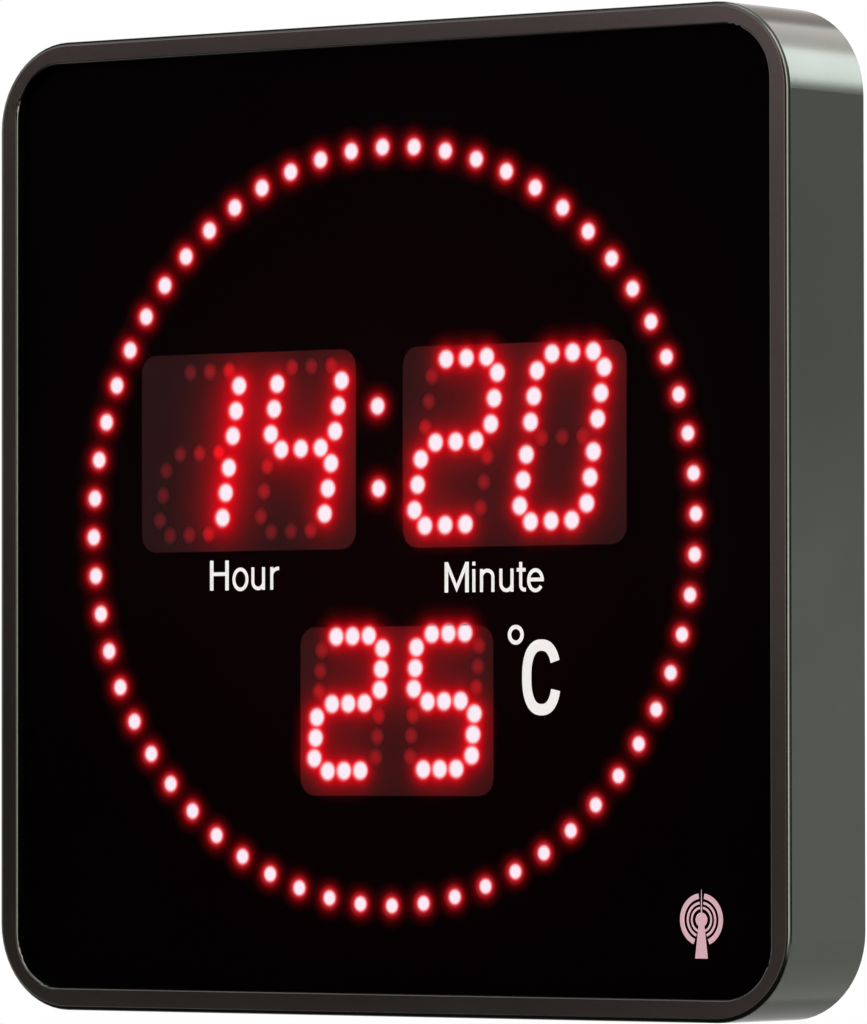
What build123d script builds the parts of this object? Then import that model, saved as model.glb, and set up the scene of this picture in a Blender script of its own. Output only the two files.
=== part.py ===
from build123d import *

import os
from math import copysign, cos, radians, sin, tan

# A square wall clock that is set by radio: an aluminium case round a dark dial of red lamps.
# Lengths are millimetres. +Z is up, the dial faces -Y, and the origin is the middle of the back.

# Clearances
slip_gap = 0.4
running_gap = 0.3
thread_gap = 0.05
lamp_gap = 0.15
overrun = 1.0

# Case
case_width = 281.4
case_height = 281.4
case_depth = 37.0
case_corner_radius = 25.0
case_wall = 2.2
case_rear_chamfer = 0.5
rim_width = 6.6
rim_thickness = 3.0
opening_corner_radius = 15.5
rim_outer_radius = 1.3
rim_inner_radius = 0.8
lug_radius = 4.5
lug_length = 10.0
lug_inset = 9.0
lug_offset = 85.0

# Front panel, its tape and the printed mask behind it
tape_thickness = 0.4
tape_setback = 0.6
panel_thickness = 2.0
mask_thickness = 0.25
ring_aperture_radius = 3.9

# Lamps, and the ring of seconds
lamp_clear = 0.14
lamp_flange_step = 0.35
lamp_flange_thickness = 1.0
lamp_height = 7.0
lamp_edge = 0.3
second_count = 60
ring_inset = 33.1
reception_inset_x = 33.2
reception_inset_z = 28.5

# Dial layout in shares of the ring's radius: x, z, width and height of the hour, minute and
# temperature windows, then height and width of a figure, and the middle of each figure
window_shares = (
    (-0.4879, 0.1877, 0.7305, 0.5297),
    (0.3968, 0.1877, 0.7305, 0.5297),
    (0.0098, -0.5056, 0.6422, 0.4461),
)
window_corner_share = 0.048
time_figure_shares = (0.435, 0.2165)
hour_tens_shares = (-0.6311, 0.2138)
hour_units_shares = (-0.2853, 0.2138)
minute_tens_shares = (0.2305, 0.2138)
minute_units_shares = (0.5762, 0.2138)
temperature_figure_shares = (0.355, 0.2045)
temperature_tens_shares = (-0.1366, -0.4656)
temperature_units_shares = (0.1812, -0.4656)
colon_shares = ((-0.027, 0.0994), (-0.027, 0.3169))

# Seven-segment figures: lamps in a segment, their pitch as a share of a figure's height, and slants
row_count = 3
lamp_pitch_share = 0.153
time_slant = 10.0
temperature_slant = 5.5

# Lamp guide and lamp board, which sit a little turned and off centre in the case
guide_thickness = 1.5
guide_margin = 4.0
guide_corner_radius = 12.0
guide_post_radius = 3.2
board_thickness = 1.6
board_margin = 10.4
board_corner_radius = 8.0
board_turn = 0.83
board_shift_x = -2.1
board_shift_z = -1.9
board_screw_radius = 1.3
board_screw_length = 6.0
board_head_radius = 2.5
board_head_height = 1.8
post_shares = ((0.93, 0.93), (0.56, 0.67), (0.67, -0.45), (0.93, -0.93))

# Back cover and its screws
cover_thickness = 2.4
cover_screw_radius = 1.5
cover_screw_length = 8.0
cover_head_radius = 2.8
cover_head_height = 1.9
screw_well_gap = 0.6
screw_pad_radius = 5.6
screw_pad_floor = 1.8
recess_share = 0.55
rest_post_radius = 4.0
rest_post_share_x = 0.375
rest_post_share_z = 0.27
vent_width = 2.4
vent_length = 40.0
vent_pitch = 6.5
vent_count = 7
vent_x = 70.0
vent_z = 22.0

# Hanger plates
hanger_x = 75.0
hanger_drop = 50.7
hanger_width = 26.0
hanger_height = 46.0
hanger_thickness = 1.2
hanger_corner_radius = 3.0
keyhole_entry_radius = 4.6
keyhole_slot_radius = 2.3
keyhole_rise = 11.0
hanger_window_width = 15.0
hanger_window_height = 27.0
rivet_radius = 1.5
rivet_head_radius = 2.6
rivet_head_thickness = 0.6
rivet_inset = 4.5

# Button tray, buttons and switches
button_names = ("set", "plus", "minus", "wave", "dim")
button_pitch = 17.0
button_radius = 4.0
button_proud = 1.8
button_edge = 0.5
button_flange_radius = 5.2
button_flange_thickness = 1.0
button_stem_radius = 1.8
tray_spacing = 10.5
tray_rise = 42.7
tray_margin = 8.5
tray_depth = 3.0
tray_corner_radius = 5.0
switch_size = 6.0
switch_height = 3.5
plunger_radius = 1.7
plunger_proud = 1.6
plunger_sunk = 0.9
plunger_room = 0.8

# Battery cup, cell, contacts and door
battery_x = 60.0
battery_rise = 48.7
cell_radius = 10.0
cell_thickness = 3.2
cell_edge = 0.4
contact_thickness = 0.3
contact_width = 4.0
contact_spread = 6.0
cup_wall = 1.6
door_radius = 12.5
door_lug_radius = 15.0
door_lug_width = 9.0
door_lug_thickness = 1.2
door_turn = 60.0
coin_slot_length = 16.0
coin_slot_width = 2.4
coin_slot_depth = 1.2

# Power socket and the well that its plug lies in
power_x = 0.0
well_rise = 40.7
well_width = 18.0
well_length = 44.0
well_wall = 1.8
well_corner_radius = 3.0
socket_radius = 5.0
socket_length = 13.0
socket_flange_radius = 6.0
socket_flange_thickness = 1.8
socket_bore_radius = 2.85
socket_bore_depth = 9.5
socket_pin_radius = 1.05
socket_pin_setback = 0.6
socket_nut_across = 12.0
socket_nut_thickness = 2.2
lead_radius = 0.8
lead_spacing = 5.0
lead_bend = 4.0
lead_rise = 12.0

# Receiver and its aerial
rod_radius = 4.0
rod_length = 66.0
rod_height = 8.0
rod_share = 0.576
coil_radius = 6.0
coil_length = 30.0
clip_spread = 46.0
clip_thickness = 5.0
clip_rim = 2.2
receiver_width = 24.0
receiver_height = 15.0
receiver_thickness = 1.0
receiver_share = 0.39
receiver_chip_size = 7.0
receiver_chip_thickness = 1.2

# Small components on the back of the lamp board, placed as shares of half the board
processor_size = 14.0
processor_thickness = 1.6
processor_shares = ((0.0, 0.08),)
driver_width = 16.0
driver_height = 8.0
driver_thickness = 2.3
driver_shares = ((-0.6, -0.22), (-0.2, -0.22), (0.2, -0.22), (0.6, -0.22))
regulator_width = 6.6
regulator_height = 9.0
regulator_thickness = 2.3
regulator_shares = ((0.22, -0.45),)
chip_edge = 0.4
capacitor_radius = 5.0
capacitor_height = 12.0
capacitor_edge = 0.6
capacitor_shares = ((-0.26, -0.45), (-0.14, -0.45))
crystal_length = 11.0
crystal_width = 4.6
crystal_height = 3.6
crystal_shares = ((0.18, 0.08),)
sensor_radius = 1.8
sensor_edge = 0.6
sensor_height = 7.0
sensor_leg_radius = 0.35
sensor_leg_spacing = 1.6
sensor_shares = ((0.82, 0.3),)

# Distances in front of the wall, worked out through the case
rim_back = case_depth - rim_thickness
panel_front = rim_back - tape_thickness
panel_back = panel_front - panel_thickness
mask_back = panel_back - mask_thickness
guide_back = mask_back - guide_thickness
board_front = mask_back - lamp_height
board_back = board_front - board_thickness
screw_well_depth = cover_head_height + running_gap
lug_rear = screw_well_depth + screw_pad_floor
door_lug_rear = cover_thickness + running_gap
door_inside = door_lug_rear + door_lug_thickness
cell_rear = door_inside + running_gap
cell_front = cell_rear + cell_thickness
cup_floor = cell_front + contact_thickness
tray_floor = tray_depth + cover_thickness
switch_rear = board_back - switch_height
plunger_rear = switch_rear - plunger_proud
socket_axis = cover_thickness + running_gap + socket_nut_across / 2
well_depth = 2 * socket_axis
rod_axis = board_back - rod_height

# Sizes across the case
inner_width = case_width - 2 * case_wall
inner_height = case_height - 2 * case_wall
inner_corner_radius = case_corner_radius - case_wall
opening_width = case_width - 2 * rim_width
opening_height = case_height - 2 * rim_width
fitted_width = inner_width - 2 * slip_gap
fitted_height = inner_height - 2 * slip_gap
fitted_corner_radius = inner_corner_radius - slip_gap
ring_radius = min(case_width, case_height) / 2 - ring_inset
board_width = case_width - 2 * (ring_inset - board_margin)
board_height = case_height - 2 * (ring_inset - board_margin)
guide_width = board_width + 2 * guide_margin
guide_height = board_height + 2 * guide_margin
lamp_flange_radius = (temperature_figure_shares[0] * ring_radius * lamp_pitch_share - lamp_clear) / 2
lamp_radius = lamp_flange_radius - lamp_flange_step
button_span = (len(button_names) - 1) * button_pitch
tray_width = button_span + 2 * tray_margin
tray_height = 2 * tray_margin

# Places across the case
signs = (-1, 1)
hanger_z = case_height / 2 - hanger_drop
hanger_plate_z = hanger_z + keyhole_rise / 2
well_z = well_rise - case_height / 2
well_top = well_z + well_length / 2
tray_x = power_x - (well_width + tray_width) / 2 - tray_spacing
tray_z = tray_rise - case_height / 2
battery_z = battery_rise - case_height / 2
rod_z = rod_share * board_height / 2
receiver_z = receiver_share * board_height / 2
side_lugs = [(i * (case_width / 2 - lug_inset), k * lug_offset) for i in signs for k in signs]
end_lugs = [(i * lug_offset, k * (case_height / 2 - lug_inset)) for i in signs for k in signs]
lug_places = side_lugs + end_lugs
rest_places = [
    (i * rest_post_share_x * case_width, k * rest_post_share_z * case_height) for i in signs for k in signs
]
guide_posts = [(i * x * ring_radius, z * ring_radius) for i in signs for x, z in post_shares]
rivet_offset = hanger_height / 2 - rivet_inset
rivet_places = [(i * hanger_x, hanger_plate_z + k * rivet_offset) for i in signs for k in signs]
button_places = [(tray_x - button_span / 2 + i * button_pitch, tray_z) for i in range(len(button_names))]


def facing(distance):
    """The upright plane that stands this far in front of the wall, seen from the dial side."""
    return Plane.XZ.offset(distance)


def board_plane(distance):
    """The same, turned and shifted as the lamp board is, with the middle of the ring at its origin."""
    turn = radians(board_turn)
    return Plane((board_shift_x, -distance, board_shift_z), (cos(turn), 0, sin(turn)), (0, -1, 0))


def looking_down(height):
    """The level plane at this height, through the axis of the power socket, seen from below."""
    return Plane((power_x, -socket_axis, height), (1, 0, 0), (0, 0, -1))


def on_board(shares):
    """Places on the board, from shares of half its width and height."""
    return [(x * board_width / 2, z * board_height / 2) for x, z in shares]


def on_ring(shares):
    """Lengths on the dial, from shares of the ring's radius."""
    return tuple(share * ring_radius for share in shares)


def figure_lamps(centre_shares, figure_shares, slant, segments="abcdefg"):
    """Places of the lamps of one seven-segment figure, leaning by its slant."""
    centre_x, centre_z = on_ring(centre_shares)
    height, width = on_ring(figure_shares)
    pitch = lamp_pitch_share * height
    steps = [(i - (row_count - 1) / 2) * pitch for i in range(row_count)]
    upright = {
        "a": [(step, height / 2) for step in steps],
        "g": [(step, 0) for step in steps],
        "d": [(step, -height / 2) for step in steps],
        "f": [(-width / 2, height / 4 + step) for step in steps],
        "b": [(width / 2, height / 4 + step) for step in steps],
        "e": [(-width / 2, step - height / 4) for step in steps],
        "c": [(width / 2, step - height / 4) for step in steps],
    }
    lean = tan(radians(slant))
    places = [place for segment in segments for place in upright[segment]]
    return [(centre_x + x + lean * z, centre_z + z) for x, z in places]


def keep(piece, name):
    """Names a finished piece and writes it to its own file."""
    piece.part.label = name
    export_step(piece.part, f"parts/{name}.step")


# Lamp places on the board. The tens of hours never needs its upper left segment.
second_turns = [radians(i * 360 / second_count) for i in range(second_count)]
second_lamps = [(ring_radius * sin(turn), ring_radius * cos(turn)) for turn in second_turns]
reception_place = (case_width / 2 - reception_inset_x, reception_inset_z - case_height / 2)
time_style = (time_figure_shares, time_slant)
temperature_style = (temperature_figure_shares, temperature_slant)
lamp_groups = {
    "second_lamps": second_lamps,
    "colon_lamps": [on_ring(shares) for shares in colon_shares],
    "hour_tens_lamps": figure_lamps(hour_tens_shares, *time_style, "abcdeg"),
    "hour_units_lamps": figure_lamps(hour_units_shares, *time_style),
    "minute_tens_lamps": figure_lamps(minute_tens_shares, *time_style),
    "minute_units_lamps": figure_lamps(minute_units_shares, *time_style),
    "temperature_tens_lamps": figure_lamps(temperature_tens_shares, *temperature_style),
    "temperature_units_lamps": figure_lamps(temperature_units_shares, *temperature_style),
    "reception_lamp": [reception_place],
}
all_lamps = [place for places in lamp_groups.values() for place in places]

os.makedirs("parts", exist_ok=True)

# Case: a square band with a front rim and, near its back, eight lugs for the cover screws
with BuildPart() as case_frame:
    with BuildSketch(facing(0)):
        RectangleRounded(case_width, case_height, case_corner_radius)
    extrude(amount=case_depth)
    fillet(case_frame.faces().sort_by(Axis.Y)[0].edges(), rim_outer_radius)
    chamfer(case_frame.faces().sort_by(Axis.Y)[-1].edges(), case_rear_chamfer)
    with BuildSketch(facing(-overrun)):
        RectangleRounded(inner_width, inner_height, inner_corner_radius)
    extrude(amount=rim_back + overrun, mode=Mode.SUBTRACT)
    with BuildSketch(facing(rim_back - overrun)):
        RectangleRounded(opening_width, opening_height, opening_corner_radius)
    extrude(amount=rim_thickness + 2 * overrun, mode=Mode.SUBTRACT)
    fillet(case_frame.faces().sort_by(Axis.Y)[0].inner_wires()[0].edges(), rim_inner_radius)
    web_reach = lug_inset - case_wall / 2
    with BuildSketch(facing(lug_rear)):
        with Locations(*lug_places):
            Circle(lug_radius)
        with Locations(*[(x + copysign(web_reach / 2, x), z) for x, z in side_lugs]):
            Rectangle(web_reach, 2 * lug_radius)
        with Locations(*[(x, z + copysign(web_reach / 2, z)) for x, z in end_lugs]):
            Rectangle(2 * lug_radius, web_reach)
    extrude(amount=lug_length)
    with BuildSketch(facing(lug_rear)):
        with Locations(*lug_places):
            Circle(cover_screw_radius + thread_gap)
    extrude(amount=cover_screw_length, mode=Mode.SUBTRACT)
keep(case_frame, "case_frame")

# Tape that holds the panel to the back of the rim
with BuildPart() as panel_tape:
    with BuildSketch(facing(panel_front)):
        RectangleRounded(fitted_width, fitted_height, fitted_corner_radius)
        RectangleRounded(
            opening_width + 2 * tape_setback,
            opening_height + 2 * tape_setback,
            opening_corner_radius + tape_setback,
            mode=Mode.SUBTRACT,
        )
    extrude(amount=tape_thickness)
keep(panel_tape, "panel_tape")

# Clear front panel
with BuildPart() as front_panel:
    with BuildSketch(facing(panel_back)):
        RectangleRounded(fitted_width, fitted_height, fitted_corner_radius)
    extrude(amount=panel_thickness)
keep(front_panel, "front_panel")

# Black mask with three windows, and a round aperture for each lamp of the ring and the colon
with BuildPart() as dial_mask:
    with BuildSketch(facing(mask_back)):
        RectangleRounded(fitted_width, fitted_height, fitted_corner_radius)
        for x, z, width, height in map(on_ring, window_shares):
            with Locations((x, z)):
                RectangleRounded(width, height, window_corner_share * ring_radius, mode=Mode.SUBTRACT)
    extrude(amount=mask_thickness)
    with BuildSketch(board_plane(mask_back)):
        with Locations(*second_lamps, *lamp_groups["colon_lamps"]):
            Circle(ring_aperture_radius)
    extrude(amount=mask_thickness, mode=Mode.SUBTRACT)
keep(dial_mask, "dial_mask")

# Guide plate that holds every lamp straight, with posts that stand on the lamp board
with BuildPart() as lamp_guide:
    with BuildSketch(board_plane(guide_back)):
        RectangleRounded(guide_width, guide_height, guide_corner_radius)
        with Locations(*all_lamps):
            Circle(lamp_radius + lamp_gap, mode=Mode.SUBTRACT)
    extrude(amount=guide_thickness)
    with BuildSketch(board_plane(board_front)):
        with Locations(*guide_posts):
            Circle(guide_post_radius)
    extrude(amount=guide_back - board_front)
    with BuildSketch(board_plane(board_front)):
        with Locations(*guide_posts):
            Circle(board_screw_radius + thread_gap)
    extrude(amount=board_screw_length - board_thickness, mode=Mode.SUBTRACT)
keep(lamp_guide, "lamp_guide")

# Lamp board
with BuildPart() as lamp_board:
    with BuildSketch(board_plane(board_back)):
        RectangleRounded(board_width, board_height, board_corner_radius)
        with Locations(*guide_posts):
            Circle(board_screw_radius + lamp_gap, mode=Mode.SUBTRACT)
    extrude(amount=board_thickness)
keep(lamp_board, "lamp_board")

# Flat-topped lamps, one group for the ring, the colon and each figure
for name, places in lamp_groups.items():
    with BuildPart() as lamps:
        with BuildSketch(board_plane(board_front)):
            with Locations(*places):
                Circle(lamp_radius)
        extrude(amount=lamp_height)
        chamfer(lamps.faces().filter_by(Axis.Y).group_by(Axis.Y)[0].edges(), lamp_edge)
        with BuildSketch(board_plane(board_front)):
            with Locations(*places):
                Circle(lamp_flange_radius)
        extrude(amount=lamp_flange_thickness)
    keep(lamps, name)

# Screws through the board into the posts of the guide
with BuildPart() as board_screws:
    with BuildSketch(board_plane(board_back)):
        with Locations(*guide_posts):
            Circle(board_head_radius)
    extrude(amount=-board_head_height)
    fillet(board_screws.faces().filter_by(Axis.Y).group_by(Axis.Y)[-1].edges(), board_head_height / 2)
    with BuildSketch(board_plane(board_back)):
        with Locations(*guide_posts):
            Circle(board_screw_radius)
    extrude(amount=board_screw_length)
    with BuildSketch(board_plane(board_back - board_head_height)):
        with Locations(*guide_posts):
            Rectangle(2 * board_screw_radius, board_head_height / 3)
            Rectangle(board_head_height / 3, 2 * board_screw_radius)
    extrude(amount=board_head_height * recess_share, mode=Mode.SUBTRACT)
keep(board_screws, "board_screws")

# Back cover: a plate flush with the back of the case, with screw pads, a button tray, a plug well,
# a battery cup and posts that press the lamp board forward
with BuildPart() as back_cover:
    with BuildSketch(facing(0)):
        RectangleRounded(fitted_width, fitted_height, fitted_corner_radius)
    extrude(amount=cover_thickness)
    with BuildSketch(facing(0)):
        with Locations(*lug_places):
            Circle(screw_pad_radius)
    extrude(amount=lug_rear)
    with BuildSketch(facing(0)):
        with Locations((tray_x, tray_z)):
            RectangleRounded(
                tray_width + 2 * cover_thickness,
                tray_height + 2 * cover_thickness,
                tray_corner_radius + cover_thickness,
            )
    extrude(amount=tray_floor)
    with BuildSketch(facing(0)):
        with Locations((power_x, well_z)):
            RectangleRounded(
                well_width + 2 * well_wall, well_length + 2 * well_wall, well_corner_radius + well_wall
            )
    extrude(amount=well_depth + well_wall)
    with BuildSketch(facing(0)):
        with Locations((battery_x, battery_z)):
            Circle(door_lug_radius + running_gap + cup_wall)
    extrude(amount=cup_floor + cup_wall)
    with BuildSketch(facing(0)):
        with Locations(*rest_places):
            Circle(rest_post_radius)
    extrude(amount=board_back)

    # Screw wells and their holes
    with BuildSketch(facing(0)):
        with Locations(*lug_places):
            Circle(cover_head_radius + screw_well_gap)
    extrude(amount=screw_well_depth, mode=Mode.SUBTRACT)
    with BuildSketch(facing(0)):
        with Locations(*lug_places):
            Circle(cover_screw_radius + lamp_gap)
    extrude(amount=lug_rear, mode=Mode.SUBTRACT)

    # Button tray and its holes
    with BuildSketch(facing(0)):
        with Locations((tray_x, tray_z)):
            RectangleRounded(tray_width, tray_height, tray_corner_radius)
    extrude(amount=tray_depth, mode=Mode.SUBTRACT)
    with BuildSketch(facing(0)):
        with Locations(*button_places):
            Circle(button_radius + running_gap)
    extrude(amount=tray_floor, mode=Mode.SUBTRACT)

    # Plug well, with the socket's hole in its upper wall
    with BuildSketch(facing(0)):
        with Locations((power_x, well_z)):
            RectangleRounded(well_width, well_length, well_corner_radius)
    extrude(amount=well_depth, mode=Mode.SUBTRACT)
    with BuildSketch(looking_down(well_top + well_wall + overrun)):
        Circle(socket_radius + lamp_gap)
    extrude(amount=well_wall + 2 * overrun, mode=Mode.SUBTRACT)

    # Battery cup: the door's hole with its two notches, the groove for its lugs, and the cell's seat
    with BuildSketch(facing(0)):
        with Locations((battery_x, battery_z)):
            Circle(door_radius + running_gap)
    extrude(amount=cell_rear, mode=Mode.SUBTRACT)
    with BuildSketch(facing(0)):
        with Locations(Location((battery_x, battery_z), -door_turn)):
            Rectangle(2 * (door_lug_radius + running_gap), door_lug_width + 2 * running_gap)
        with Locations((battery_x, battery_z)):
            Circle(door_lug_radius + running_gap, mode=Mode.INTERSECT)
    extrude(amount=cover_thickness, mode=Mode.SUBTRACT)
    with BuildSketch(facing(cover_thickness)):
        with Locations((battery_x, battery_z)):
            Circle(door_lug_radius + running_gap)
    extrude(amount=cell_rear - cover_thickness, mode=Mode.SUBTRACT)
    with BuildSketch(facing(cell_rear)):
        with Locations((battery_x, battery_z)):
            Circle(cell_radius + slip_gap)
        with Locations((battery_x, battery_z + cell_radius)):
            Rectangle(contact_width + slip_gap, 2 * (contact_thickness + slip_gap))
    extrude(amount=cup_floor - cell_rear, mode=Mode.SUBTRACT)
    with BuildSketch(facing(cup_floor)):
        for z in (battery_z - contact_spread, battery_z + cell_radius + contact_thickness / 2):
            with Locations((battery_x, z)):
                Rectangle(contact_width + slip_gap, contact_thickness + slip_gap)
    extrude(amount=cup_wall, mode=Mode.SUBTRACT)

    # Vents, and the seats of the hanger plates with room for a screw's head behind each
    with BuildSketch(facing(0)):
        for x in (-vent_x, vent_x):
            with Locations((x, vent_z)):
                with GridLocations(vent_length, vent_pitch, 1, vent_count):
                    SlotOverall(vent_length, vent_width)
    extrude(amount=cover_thickness, mode=Mode.SUBTRACT)
    with BuildSketch(facing(0)):
        with Locations((-hanger_x, hanger_plate_z), (hanger_x, hanger_plate_z)):
            RectangleRounded(hanger_width + slip_gap, hanger_height + slip_gap, hanger_corner_radius)
    extrude(amount=hanger_thickness, mode=Mode.SUBTRACT)
    with BuildSketch(facing(0)):
        with Locations((-hanger_x, hanger_plate_z), (hanger_x, hanger_plate_z)):
            RectangleRounded(hanger_window_width, hanger_window_height, hanger_corner_radius)
        with Locations(*rivet_places):
            Circle(rivet_radius + thread_gap)
    extrude(amount=cover_thickness, mode=Mode.SUBTRACT)
keep(back_cover, "back_cover")

# Screws that hold the cover to the lugs
with BuildPart() as cover_screws:
    with BuildSketch(facing(screw_well_depth)):
        with Locations(*lug_places):
            Circle(cover_head_radius)
    extrude(amount=-cover_head_height)
    fillet(cover_screws.faces().filter_by(Axis.Y).group_by(Axis.Y)[-1].edges(), cover_head_height / 2)
    with BuildSketch(facing(screw_well_depth)):
        with Locations(*lug_places):
            Circle(cover_screw_radius)
    extrude(amount=cover_screw_length)
    with BuildSketch(facing(screw_well_depth - cover_head_height)):
        with Locations(*lug_places):
            Rectangle(2 * cover_screw_radius, cover_head_height / 3)
            Rectangle(cover_head_height / 3, 2 * cover_screw_radius)
    extrude(amount=cover_head_height * recess_share, mode=Mode.SUBTRACT)
keep(cover_screws, "cover_screws")

# Two steel hanger plates with keyholes, flush with the back
with BuildPart() as hanger_plates:
    with BuildSketch(facing(0)):
        with Locations((-hanger_x, hanger_plate_z), (hanger_x, hanger_plate_z)):
            RectangleRounded(hanger_width, hanger_height, hanger_corner_radius)
        with Locations((-hanger_x, hanger_z), (hanger_x, hanger_z)):
            Circle(keyhole_entry_radius, mode=Mode.SUBTRACT)
        with Locations((-hanger_x, hanger_plate_z), (hanger_x, hanger_plate_z)):
            Rectangle(2 * keyhole_slot_radius, keyhole_rise, mode=Mode.SUBTRACT)
        with Locations((-hanger_x, hanger_z + keyhole_rise), (hanger_x, hanger_z + keyhole_rise)):
            Circle(keyhole_slot_radius, mode=Mode.SUBTRACT)
        with Locations(*rivet_places):
            Circle(rivet_radius + thread_gap, mode=Mode.SUBTRACT)
    extrude(amount=hanger_thickness)
    with BuildSketch(facing(0)):
        with Locations(*rivet_places):
            Circle(rivet_head_radius + thread_gap)
    extrude(amount=rivet_head_thickness, mode=Mode.SUBTRACT)
keep(hanger_plates, "hanger_plates")

# Rivets, sunk flush outside and spread over the inside of the cover
with BuildPart() as hanger_rivets:
    with BuildSketch(facing(0)):
        with Locations(*rivet_places):
            Circle(rivet_head_radius)
    extrude(amount=rivet_head_thickness)
    with BuildSketch(facing(0)):
        with Locations(*rivet_places):
            Circle(rivet_radius)
    extrude(amount=cover_thickness + rivet_head_thickness)
    with BuildSketch(facing(cover_thickness)):
        with Locations(*rivet_places):
            Circle(rivet_head_radius)
    extrude(amount=rivet_head_thickness)
keep(hanger_rivets, "hanger_rivets")

# Buttons, each with its flange inside the cover and a long stem that ends on its switch
for name, place in zip(button_names, button_places):
    with BuildPart() as button:
        with BuildSketch(facing(tray_depth - button_proud)):
            with Locations(place):
                Circle(button_radius)
        extrude(amount=button_proud + cover_thickness + running_gap)
        fillet(button.faces().sort_by(Axis.Y)[-1].edges(), button_edge)
        with BuildSketch(facing(tray_floor + running_gap)):
            with Locations(place):
                Circle(button_flange_radius)
        extrude(amount=button_flange_thickness)
        with BuildSketch(facing(tray_floor)):
            with Locations(place):
                Circle(button_stem_radius)
        extrude(amount=plunger_rear - tray_floor)
    keep(button, f"{name}_button")

    with BuildPart() as plunger:
        with BuildSketch(facing(plunger_rear)):
            with Locations(place):
                Circle(plunger_radius)
        extrude(amount=plunger_proud + plunger_sunk)
    keep(plunger, f"{name}_plunger")

# Switch bodies on the board, each with a hole for its plunger
with BuildPart() as switches:
    with BuildSketch(facing(board_back)):
        with Locations(*button_places):
            Rectangle(switch_size, switch_size)
    extrude(amount=-switch_height)
    with BuildSketch(facing(switch_rear)):
        with Locations(*button_places):
            Circle(plunger_radius + thread_gap)
    extrude(amount=plunger_sunk + plunger_room, mode=Mode.SUBTRACT)
keep(switches, "switch_bodies")

# Battery door: a disc with a coin slot, and two lugs that lock behind the cover
with BuildPart() as battery_door:
    with BuildSketch(facing(0)):
        with Locations((battery_x, battery_z)):
            Circle(door_radius)
    extrude(amount=door_inside)
    with BuildSketch(facing(door_lug_rear)):
        with Locations((battery_x, battery_z)):
            Rectangle(2 * door_lug_radius, door_lug_width)
            Circle(door_lug_radius, mode=Mode.INTERSECT)
    extrude(amount=door_lug_thickness)
    with BuildSketch(facing(0)):
        with Locations((battery_x, battery_z)):
            SlotOverall(coin_slot_length, coin_slot_width)
    extrude(amount=coin_slot_depth, mode=Mode.SUBTRACT)
keep(battery_door, "battery_door")

# Coin cell that keeps the time when the power is off
with BuildPart() as coin_cell:
    with BuildSketch(facing(cell_rear)):
        with Locations((battery_x, battery_z)):
            Circle(cell_radius)
    extrude(amount=cell_thickness)
    chamfer(coin_cell.faces().filter_by(Axis.Y).edges(), cell_edge)
keep(coin_cell, "coin_cell")

# Battery contacts: one under the cell and one along its side, each with a leg down to the board
with BuildPart() as minus_contact:
    with BuildSketch(facing(cell_front)):
        with Locations((battery_x, battery_z)):
            Rectangle(contact_width, 2 * contact_spread + contact_thickness)
    extrude(amount=contact_thickness)
    with BuildSketch(facing(cell_front)):
        with Locations((battery_x, battery_z - contact_spread)):
            Rectangle(contact_width, contact_thickness)
    extrude(amount=board_back - cell_front)
keep(minus_contact, "battery_minus_contact")

with BuildPart() as plus_contact:
    with BuildSketch(facing(cell_rear + cell_edge)):
        with Locations((battery_x, battery_z + cell_radius + contact_thickness / 2)):
            Rectangle(contact_width, contact_thickness)
    extrude(amount=board_back - cell_rear - cell_edge)
keep(plus_contact, "battery_plus_contact")

# Power socket: a threaded body with its flange in the well, a centre pin, a nut and two leads
socket_mouth = well_top - socket_flange_thickness
socket_end = well_top + socket_length
with BuildPart() as power_socket:
    with BuildSketch(looking_down(socket_end)):
        Circle(socket_radius)
    extrude(amount=socket_length)
    with BuildSketch(looking_down(well_top)):
        Circle(socket_flange_radius)
    extrude(amount=socket_flange_thickness)
    with BuildSketch(looking_down(socket_mouth + socket_bore_depth)):
        Circle(socket_bore_radius)
    extrude(amount=socket_bore_depth, mode=Mode.SUBTRACT)
keep(power_socket, "power_socket")

with BuildPart() as power_pin:
    with BuildSketch(looking_down(socket_mouth + socket_bore_depth)):
        Circle(socket_pin_radius)
    extrude(amount=socket_bore_depth - socket_pin_setback)
    fillet(power_pin.faces().sort_by(Axis.Z)[0].edges(), socket_pin_radius / 2)
keep(power_pin, "power_pin")

with BuildPart() as power_nut:
    with BuildSketch(looking_down(well_top + well_wall + socket_nut_thickness)):
        RegularPolygon(socket_nut_across / 2, 6, major_radius=False)
        Circle(socket_radius + thread_gap, mode=Mode.SUBTRACT)
    extrude(amount=socket_nut_thickness)
keep(power_nut, "power_nut")

with BuildPart() as power_leads:
    for side in signs:
        lead_x = power_x + side * lead_spacing / 2
        lead_top = socket_end + lead_rise
        with BuildLine() as route:
            FilletPolyline(
                (lead_x, -socket_axis, socket_end),
                (lead_x, -socket_axis, lead_top),
                (lead_x, -board_back, lead_top),
                radius=lead_bend,
            )
        with BuildSketch(Plane((lead_x, -socket_axis, socket_end), (1, 0, 0), (0, 0, 1))):
            Circle(lead_radius)
        sweep(path=route.wire())
keep(power_leads, "power_leads")

# Aerial: a ferrite rod lying along the board in two clips, with its coil between them
with BuildPart() as ferrite_rod:
    with BuildSketch(Plane.YZ.offset(-rod_length / 2)):
        with Locations((-rod_axis, rod_z)):
            Circle(rod_radius)
    extrude(amount=rod_length)
keep(ferrite_rod, "ferrite_rod")

with BuildPart() as aerial_coil:
    with BuildSketch(Plane.YZ.offset(-coil_length / 2)):
        with Locations((-rod_axis, rod_z)):
            Circle(coil_radius)
            Circle(rod_radius + thread_gap, mode=Mode.SUBTRACT)
    extrude(amount=coil_length)
keep(aerial_coil, "aerial_coil")

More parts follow.
